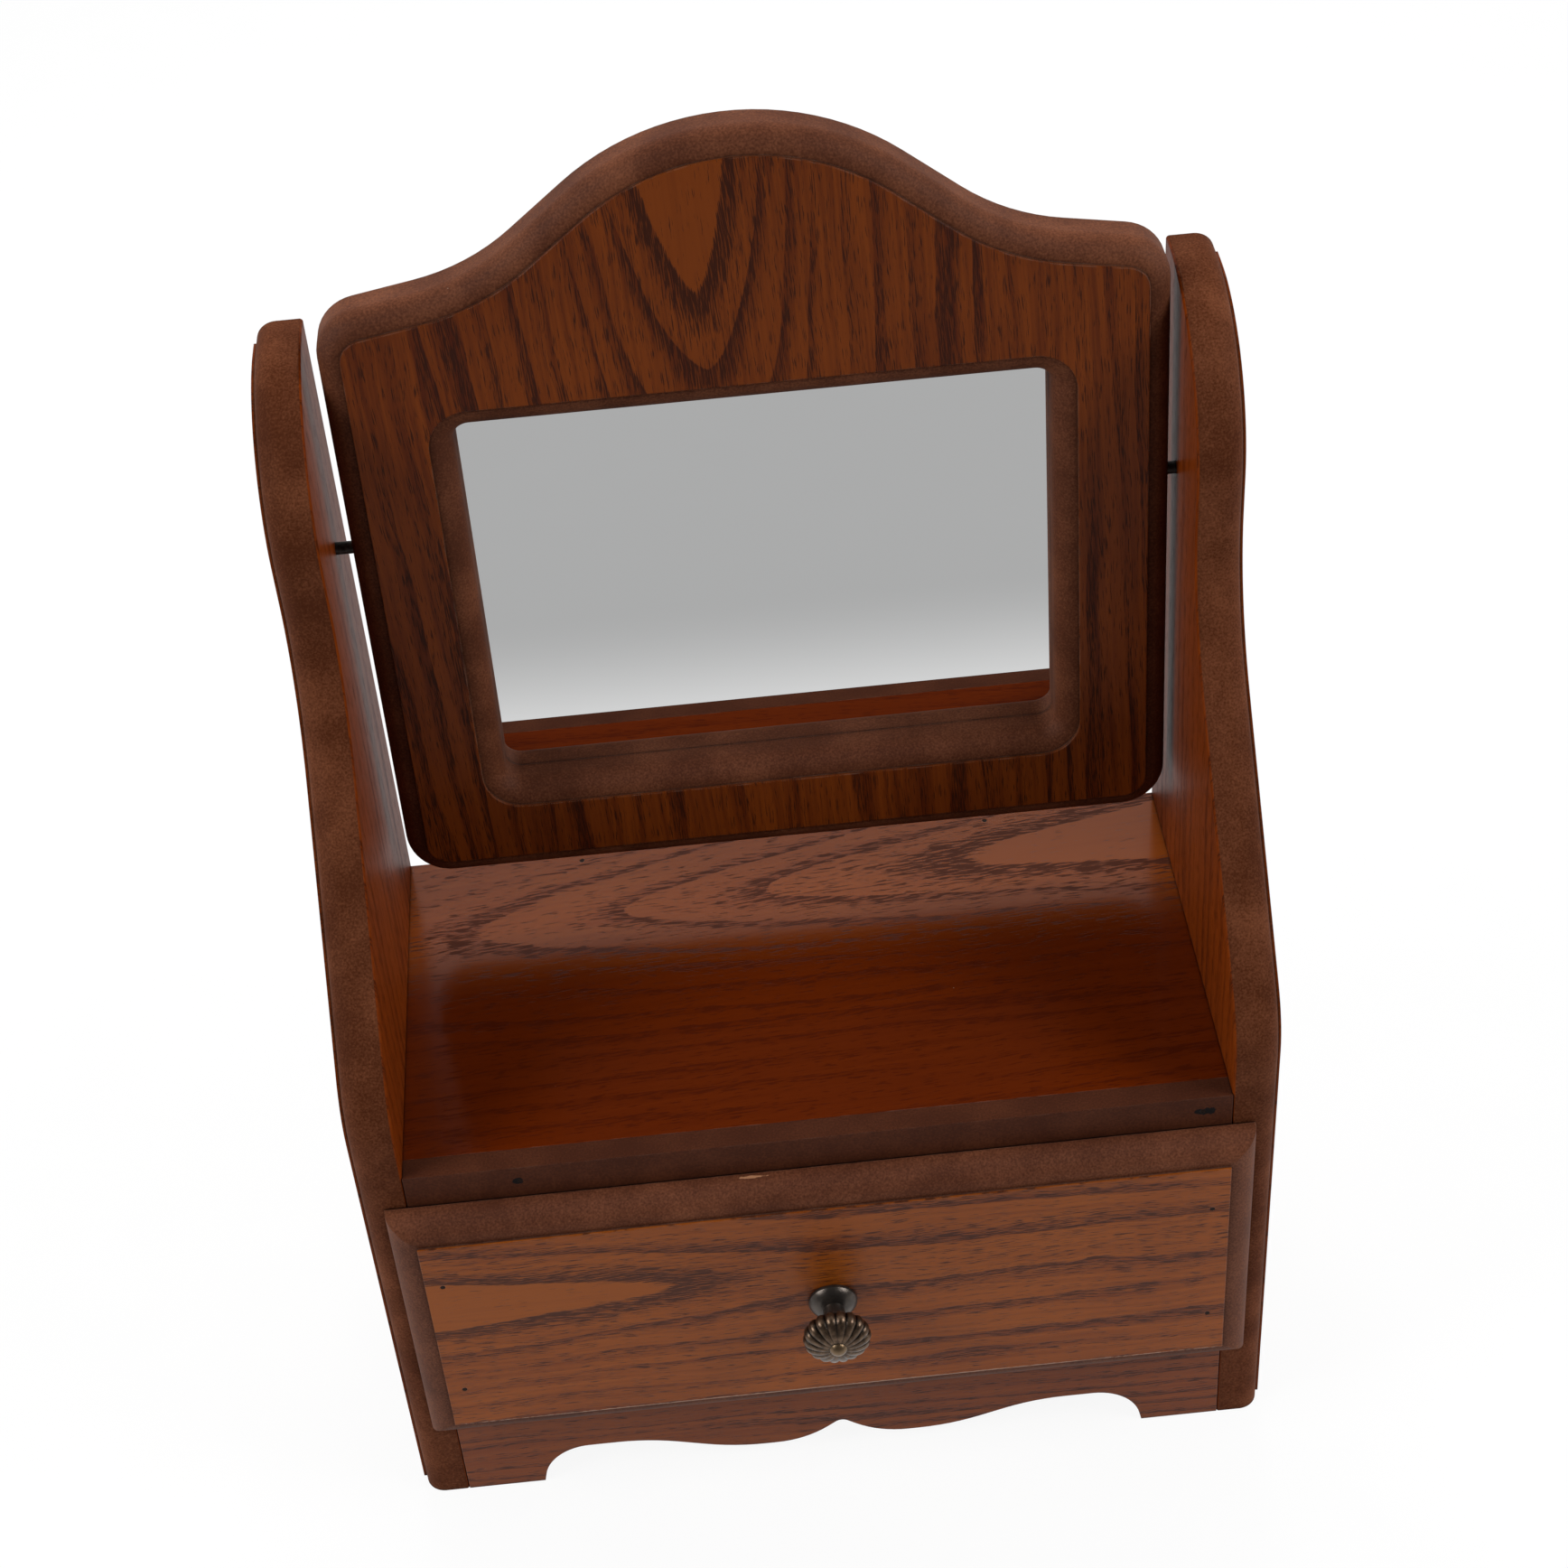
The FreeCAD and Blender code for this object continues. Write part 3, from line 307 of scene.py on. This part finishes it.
SKIN_DEPTH = 0.45 * MM
BLOTCH_SCALE, SPECK_SCALE = 70.0, 2000.0
BLOTCHY, HARDLY_BLOTCHY = 1.1, 0.45
BOARD_MEAN_TONE, SPECK_TONE, SPECK_MATT = 0.36, 1.3, 0.12
MATT_EDGE = 0.62
RAGGED_SCALE, RAGGEDNESS, RAGGED_EDGE = 900.0, 1.2, (0.8, 1.0)
ARRIS_RADIUS = 0.45 * MM
RUBBED_SCALE, RUBBED_RANGE = 260.0, (0.38, 0.7)
USUAL_WEAR, SLIGHT_WEAR = 0.35, 0.1
# Painted shade: ambient occlusion reach and range that darken the colour in corners and quirk grooves.
CORNER_SHADE_REACH, CORNER_SHADE_RANGE = 3.5 * MM, (-0.35, 0.75)
QUIRK_SHADE_REACH, QUIRK_SHADE_RANGE = 1.1 * MM, (0.2, 0.8)
DUST_SPACING, DUST_RADIUS, DUST_SHARE, DUST_TINT = 9 * MM, 0.16 * MM, 0.22, 0.7


def fibreboard(graph, tones, blotchy=BLOTCHY):
    """Colour, roughness and height of stained fibreboard: blotches and fine pale specks, with no grain."""
    blotch = graph.grit(BLOTCH_SCALE, detail=3.0)
    speck = graph.grit(SPECK_SCALE, detail=3.0)
    tone = (blotch - 0.5) * blotchy + (speck - 0.5) * SPECK_TONE + BOARD_MEAN_TONE
    return graph.mix(tone.smooth(0.0, 1.0), *tones), speck * SPECK_MATT, speck


def wood(name, matt, shine, grain=None, stain=None, skins=(), tones=EDGE_TONES, wear=USUAL_WEAR, marks=(),
         painted_sheen=None):
    """Stained board: veneer on its skins and fibreboard elsewhere, painted shade in corners and quirks, worn
    arrises and dust.

    A board of one wood throughout has None for its skins. A painted sheen, when given, turns the stain paler
    along a direction as painted sheen and light."""
    graph = material_graph(name)
    pore_matt = FILLED_PORE_MATT
    # Painted sheen and light: the stain turns paler along the given direction, and the pores more open.
    if painted_sheen is not None:
        sheen_reached = graph.along(painted_sheen.direction).smooth(painted_sheen.start, painted_sheen.end)
        stain = faded(graph, sheen_reached, stain, painted_sheen.stain)
        pore_matt = graph.blend(sheen_reached, FILLED_PORE_MATT, OPEN_PORE_MATT)
    if skins is None:
        colour, rough, height = veneer(graph, grain, stain, pore_matt)
    else:
        colour, rough, height = fibreboard(graph, tones)
        rough = rough + (MATT_EDGE - matt)
    if skins:
        levels = [graph.along(skin.direction) - (skin.level - SKIN_DEPTH) for skin in skins]
        on_skin = graph.math("GREATER_THAN", reduce(Wire.at_least, levels), 0.0)
        face_colour, face_rough, face_height = veneer(graph, grain, stain, pore_matt)
        colour = graph.mix(on_skin, colour, face_colour)
        rough = graph.blend(on_skin, rough, face_rough)
        height = graph.blend(on_skin, height, face_height)
    for mark in marks:
        axes = [axis / half for axis, half in zip((X_AXIS, Y_AXIS, Z_AXIS), mark.half_sizes)]
        ragged = graph.away(mark.centre, *axes) + (graph.grit(RAGGED_SCALE) - 0.5) * RAGGEDNESS
        colour = graph.mix(1 - ragged.smooth(*RAGGED_EDGE), colour, mark.colour)
    normal = graph.rounded(ARRIS_RADIUS)
    rubbed = graph.edge(normal) * graph.grit(RUBBED_SCALE).smooth(*RUBBED_RANGE)
    colour = graph.mix(rubbed * wear, colour, WORN)
    # Painted shade: the colour is darkened by ambient occlusion in corners and in the quirk grooves.
    corners = graph.openness(CORNER_SHADE_REACH).smooth(*CORNER_SHADE_RANGE)
    quirk_shade = graph.openness(QUIRK_SHADE_REACH).smooth(*QUIRK_SHADE_RANGE)
    colour = graph.shade(colour, corners * quirk_shade)
    dust = graph.specks(DUST_SPACING, DUST_RADIUS, DUST_SHARE)
    colour = graph.mix(dust * DUST_TINT, colour, DUST)
    return graph.surface(colour, rough + matt, height, PORE_DEPTH * matt, normal,
                         **{"Specular IOR Level": shine})


def bare_board(name, grain):
    """A board of bare wood throughout."""
    return wood(name, matt=0.55, shine=0.3, grain=grain, stain=BARE_STAIN, skins=None)


def face_level(node, direction):
    """How far a node reaches along a direction."""
    return max(vertex.co.dot(direction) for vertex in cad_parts[node].data.vertices)


def skin_of(node, *directions):
    """The veneered faces of a node, one to each direction."""
    return [Skin(direction, face_level(node, direction)) for direction in directions]


def glass_front():
    """The direction that the mirror glass faces."""
    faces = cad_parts["mirror_glass"].data.polygons
    widest = max((face for face in faces if face.normal.y < 0), key=lambda face: face.area)
    return widest.normal.copy()


def rail_marks():
    """Dark smears round the two brad heads in the shelf's front rail."""
    low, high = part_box("rail_brads")
    level = (low.z + high.z) / 2
    spots = []
    for x, half_width in ((low.x, 1.4 * MM), (high.x, 2.8 * MM)):
        spots.append(Mark(Vector((x, low.y, level)), (half_width, 2 * MM, 1.2 * MM), NAIL_STAIN))
    return spots


def drawer_marks():
    """A chip that shows bare wood on the drawer's upper edge, and the worn lower arris of its face."""
    low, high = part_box("drawer_front")
    chip_place, chip_half = Vector((-16.5 * MM, high.y - 1.2 * MM, high.z)), (3.4 * MM, 0.4 * MM, 2 * MM)
    arris_place, arris_half = Vector((0, low.y, low.z + 6.9 * MM)), (high.x, 0.5 * MM, 0.4 * MM)
    return [Mark(chip_place, chip_half, BARE_WOOD), Mark(arris_place, arris_half, WORN)]


# Metal, glass and other materials

KNOB_GROOVE, KNOB_RIB = (0.002, 0.002, 0.002, 1), (0.15, 0.094, 0.058, 1)
KNOB_BUTTON = (0.18, 0.118, 0.064, 1)
KNOB_BASE_TONES = ((0.056, 0.047, 0.041, 1), (0.083, 0.068, 0.057, 1))
KNOB_HEAD_START, KNOB_HEAD_FULL = 7 * MM, 8 * MM
BUTTON_START, BUTTON_FULL, BUTTON_TINT = 1.4 * MM, 1.1 * MM, 0.8
RIB_REACH, RIB_RANGE = 1.2 * MM, (0.8, 1.0)
POLISH_SCALE, POLISH_RANGE, LEAST_POLISH = 900.0, (0.3, 0.75), 0.4
TARNISH_SCALE, TARNISH_RANGE = 420.0, (0.35, 0.75)
BRONZE_MATT, BRONZE_MATT_SPREAD, BRONZE_MATT_SCALE = 0.26, 0.12, 1300.0
BRONZE_PIT_SCALE, BRONZE_PIT_DEPTH = 2600.0, 0.02 * MM
BRONZE_METALLIC = 0.8
SILVER, GLASS_DUST = (0.97, 0.975, 0.975, 1), (0.30, 0.30, 0.30, 1)
HAZE_SCALE, HAZE_RANGE, HAZE_MATT = 60.0, (0.5, 0.9), 0.02
GLASS_DUST_TINT, GLASS_DUST_MATT, GLASS_DUST_HEIGHT = 0.55, 0.4, 0.005 * MM
SPOT_MATT = 0.2
STEEL_TONES = ((0.03, 0.028, 0.026, 1), (0.075, 0.07, 0.065, 1))
STEEL_SPOT_SCALE, STEEL_SPOT_RANGE, STEEL_MATT, STEEL_DEPTH = 700.0, (0.35, 0.7), 0.3, 0.01 * MM
FILLER_TONES = ((0.007, 0.004, 0.003, 1), (0.024, 0.012, 0.008, 1))
FILLER_SPOT_SCALE, FILLER_SPOT_RANGE, FILLER_MATT, FILLER_DEPTH = 2400.0, (0.3, 0.7), 0.5, 0.05 * MM
FILLER_SHINE = 0.1
HARDBOARD_MATT, HARDBOARD_DEPTH = 0.5, 0.05 * MM


def bronze():
    """Dark antique bronze: black between the ribs, and rubbed to copper on them and on the button."""
    graph = material_graph("antique_bronze")
    low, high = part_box("drawer_knob")
    forward = graph.along(-Y_AXIS)
    rib = graph.openness(RIB_REACH).smooth(*RIB_RANGE)
    polish = graph.grit(POLISH_SCALE, detail=3.0).smooth(*POLISH_RANGE)
    ribbed = graph.mix(rib * (polish * (1 - LEAST_POLISH) + LEAST_POLISH), KNOB_GROOVE, KNOB_RIB)
    smooth_base = graph.mix(graph.grit(TARNISH_SCALE).smooth(*TARNISH_RANGE), *KNOB_BASE_TONES)
    on_head = forward.smooth(KNOB_HEAD_START - high.y, KNOB_HEAD_FULL - high.y)
    on_button = forward.smooth(-low.y - BUTTON_START, -low.y - BUTTON_FULL)
    colour = graph.mix(on_head, smooth_base, ribbed)
    colour = graph.mix(on_button * BUTTON_TINT, colour, KNOB_BUTTON)
    rough = graph.grit(BRONZE_MATT_SCALE) * BRONZE_MATT_SPREAD + BRONZE_MATT
    pits = graph.grit(BRONZE_PIT_SCALE)
    return graph.surface(colour, rough, pits, BRONZE_PIT_DEPTH, Metallic=BRONZE_METALLIC)


def silvered_glass():
    """A mirror with a little haze and dust."""
    graph = material_graph("silvered_glass")
    haze = graph.grit(HAZE_SCALE, detail=3.0).smooth(*HAZE_RANGE)
    dust = graph.specks(spacing=11 * MM, radius=0.14 * MM, share=0.25)
    colour = graph.mix(dust * GLASS_DUST_TINT, SILVER, GLASS_DUST)
    rough = haze * HAZE_MATT + dust * GLASS_DUST_MATT
    return graph.surface(colour, rough, dust, GLASS_DUST_HEIGHT, Metallic=1.0)


def steel():
    """Dark wire and screw steel with spots."""
    graph = material_graph("pin_steel")
    spots = graph.grit(STEEL_SPOT_SCALE, detail=3.0)
    colour = graph.mix(spots.smooth(*STEEL_SPOT_RANGE), *STEEL_TONES)
    return graph.surface(colour, spots * SPOT_MATT + STEEL_MATT, spots, STEEL_DEPTH, Metallic=1.0)


def filler():
    """Dark stopping over a sunk brad head."""
    graph = material_graph("brad_filler")
    spots = graph.grit(FILLER_SPOT_SCALE)
    colour = graph.mix(spots.smooth(*FILLER_SPOT_RANGE), *FILLER_TONES)
    return graph.surface(colour, spots * SPOT_MATT + FILLER_MATT, spots, FILLER_DEPTH,
                         **{"Specular IOR Level": FILLER_SHINE})


def hardboard():
    """Smooth brown hardboard."""
    graph = material_graph("hardboard")
    colour, rough, height = fibreboard(graph, BOARD_TONES, HARDLY_BLOTCHY)
    return graph.surface(colour, rough + HARDBOARD_MATT, height, HARDBOARD_DEPTH)


def dress():
    """Give every node its material."""
    finishes = {
        "mirror_frame": wood("frame_wood", matt=0.32, shine=0.15, grain=FRAME_GRAIN, stain=FRAME_STAIN,
                             skins=skin_of("mirror_frame", glass_front())),
        "drawer_front": wood("drawer_wood", matt=0.34, shine=0.17, grain=DRAWER_GRAIN, stain=DRAWER_STAIN,
                             skins=skin_of("drawer_front", -Y_AXIS), marks=drawer_marks()),
        "shelf": wood("shelf_wood", matt=0.16, shine=0.22, grain=SHELF_GRAIN, stain=SHELF_STAIN,
                      skins=skin_of("shelf", Z_AXIS, -Z_AXIS), painted_sheen=SHELF_PAINTED_SHEEN),
        "apron": wood("apron_wood", matt=0.36, shine=0.16, grain=APRON_GRAIN, stain=APRON_STAIN,
                      skins=skin_of("apron", -Y_AXIS)),
        "shelf_front_rail": wood("rail_wood", matt=0.45, shine=0.15, tones=RAIL_TONES, wear=SLIGHT_WEAR,
                                 marks=rail_marks()),
        "back_board": wood("back_wood", matt=0.4, shine=0.2, grain=BOX_GRAIN, stain=PANEL_STAIN,
                           skins=skin_of("back_board", Y_AXIS)),
        "bottom_board": bare_board("bottom_wood", BOX_GRAIN),
        "drawer_back": bare_board("drawer_back_wood", BOX_GRAIN),
        "drawer_knob": bronze(),
        "mirror_glass": silvered_glass(),
    }
    for side in ("left_side_panel", "right_side_panel"):
        finishes[side] = wood(side + "_wood", matt=0.42, shine=0.04, grain=PANEL_GRAIN, stain=PANEL_STAIN,
                              skins=skin_of(side, X_AXIS, -X_AXIS))
    shared = (
        (bare_board("drawer_side_wood", SIDE_GRAIN), ("drawer_left_side", "drawer_right_side")),
        (hardboard(), ("drawer_bottom", "mirror_backing")),
        (steel(), ("left_pivot_pin", "right_pivot_pin", "knob_screw", "backing_tacks")),
        (filler(), ("shelf_back_brads", "rail_brads", "panel_brads", "drawer_front_brads",
                    "drawer_back_brads")),
    )
    for material, nodes in shared:
        finishes.update({node: material for node in nodes})
    for node, material in finishes.items():
        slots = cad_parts[node].data.materials
        slots.clear()
        slots.append(material)


# Stage, light and camera

WHITE = (1.0, 1.0, 1.0, 1)
FLOOR_GREY = (0.416, 0.416, 0.416, 1)
FLOOR_HALF = 20.0
SWEEP_START, SWEEP_END = -0.14, -0.30
PAPER_SCALE, PAPER_CONTRAST = 35.0, 0.01
FLOOR_ALBEDO = 0.9
FLOOR_GLOW_SHARE = 0.92
ROOM_END, BACKDROP_START = -0.4, 0.7
BACKDROP_LIGHT, ROOM_LIGHT = 0.70, 0.12
BACKDROP_GLOSS, ROOM_GLOSS = 1.0, 0.05
Lamp = namedtuple("Lamp", "place watts glints")
LAMPS = (Lamp((-1.0, -0.35, 0.85), 10.0, True), Lamp((1.0, -0.35, 0.85), 10.0, True),
         Lamp((0.0, 0.80, 0.95), 8.0, False))
LAMP_SIZE = 0.6
LAMP_TARGET = (0, 0, 0.15)

VIEW_TARGET = (0.2 * MM, 58.8 * MM, 179.3 * MM)
VIEW_DISTANCE = 688.7 * MM
VIEW_ELEVATION, VIEW_AZIMUTH, VIEW_ROLL = 40.52, -1.40, -4.75
VIEW_LENS = 66.83


def build_floor():
    """A white table, which the glass shows turning grey some way in front of the object."""
    corners = [(-FLOOR_HALF, -FLOOR_HALF, 0), (FLOOR_HALF, -FLOOR_HALF, 0),
               (FLOOR_HALF, FLOOR_HALF, 0), (-FLOOR_HALF, FLOOR_HALF, 0)]
    mesh = bpy.data.meshes.new("floor")
    mesh.from_pydata(corners, [], [(0, 1, 2, 3)])
    floor = bpy.data.objects.new("floor", mesh)
    bpy.context.scene.collection.objects.link(floor)
    graph = material_graph("floor_white")
    near = graph.along(Y_AXIS).smooth(SWEEP_END, SWEEP_START)
    white = near.at_least(graph.rays("Camera"))
    paper = graph.grit(PAPER_SCALE) * PAPER_CONTRAST + (1 - PAPER_CONTRAST)
    colour = graph.shade(graph.mix(white, FLOOR_GREY, WHITE), paper)
    diffuse = graph.node("ShaderNodeBsdfDiffuse", {"Color": graph.shade(colour, FLOOR_ALBEDO)}).outputs[0]
    glow = graph.node("ShaderNodeEmission", {"Color": colour}).outputs[0]
    seen = graph.rays("Camera", "Glossy", "Transmission") * FLOOR_GLOW_SHARE
    mixed = graph.node("ShaderNodeMixShader", {0: seen, 1: diffuse, 2: glow}).outputs[0]
    graph.node("ShaderNodeOutputMaterial", {0: mixed})
    mesh.materials.append(graph.owner)


def build_light():
    """A white backdrop behind the object, a dim room in front, and soft lamps above its sides and back."""
    world = bpy.data.worlds.new("studio")
    bpy.context.scene.world = world
    graph = Graph(world, "Generated")
    behind = graph.along(Y_AXIS).smooth(ROOM_END, BACKDROP_START)
    diffuse = graph.blend(behind, ROOM_LIGHT, BACKDROP_LIGHT)
    gloss = graph.blend(behind, ROOM_GLOSS, BACKDROP_GLOSS)
    strength = graph.blend(graph.rays("Glossy"), diffuse, gloss)
    strength = graph.blend(graph.rays("Camera", "Transmission"), strength, 1.0)
    background = graph.node("ShaderNodeBackground", {"Color": WHITE, "Strength": strength})
    graph.node("ShaderNodeOutputWorld", {0: background.outputs[0]})
    for i, lamp in enumerate(LAMPS):
        light = bpy.data.lights.new(f"softbox_{i}", "AREA")
        light.shape = "SQUARE"
        light.size = LAMP_SIZE
        light.energy = lamp.watts
        holder = bpy.data.objects.new(f"softbox_{i}", light)
        holder.location = lamp.place
        aim = Vector(LAMP_TARGET) - Vector(lamp.place)
        holder.rotation_euler = aim.to_track_quat("-Z", "Y").to_euler()
        holder.visible_glossy = lamp.glints
        bpy.context.scene.collection.objects.link(holder)


def build_camera():
    """The photograph's view: its target is measured from the front edge of the side panels."""
    panel_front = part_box("left_side_panel")[0].y
    target = Vector(VIEW_TARGET) + Y_AXIS * panel_front
    elevation, azimuth, roll = (math.radians(a) for a in (VIEW_ELEVATION, VIEW_AZIMUTH, VIEW_ROLL))
    back = Vector((math.sin(azimuth) * math.cos(elevation), -math.cos(azimuth) * math.cos(elevation),
                   math.sin(elevation)))
    right = (-back).cross(Z_AXIS).normalized()
    up = back.cross(right)
    turned_right = right * math.cos(roll) + up * math.sin(roll)
    turned_up = up * math.cos(roll) - right * math.sin(roll)
    place = target + back * VIEW_DISTANCE
    camera = bpy.data.objects.new("camera", bpy.data.cameras.new("camera"))
    camera.data.lens = VIEW_LENS
    turn = Matrix((turned_right, turned_up, back)).transposed().to_4x4()
    camera.matrix_world = Matrix.Translation(place) @ turn
    bpy.context.scene.collection.objects.link(camera)
    bpy.context.scene.camera = camera


dress()
build_floor()
build_light()
build_camera()
bpy.context.scene.view_settings.view_transform = "Standard"
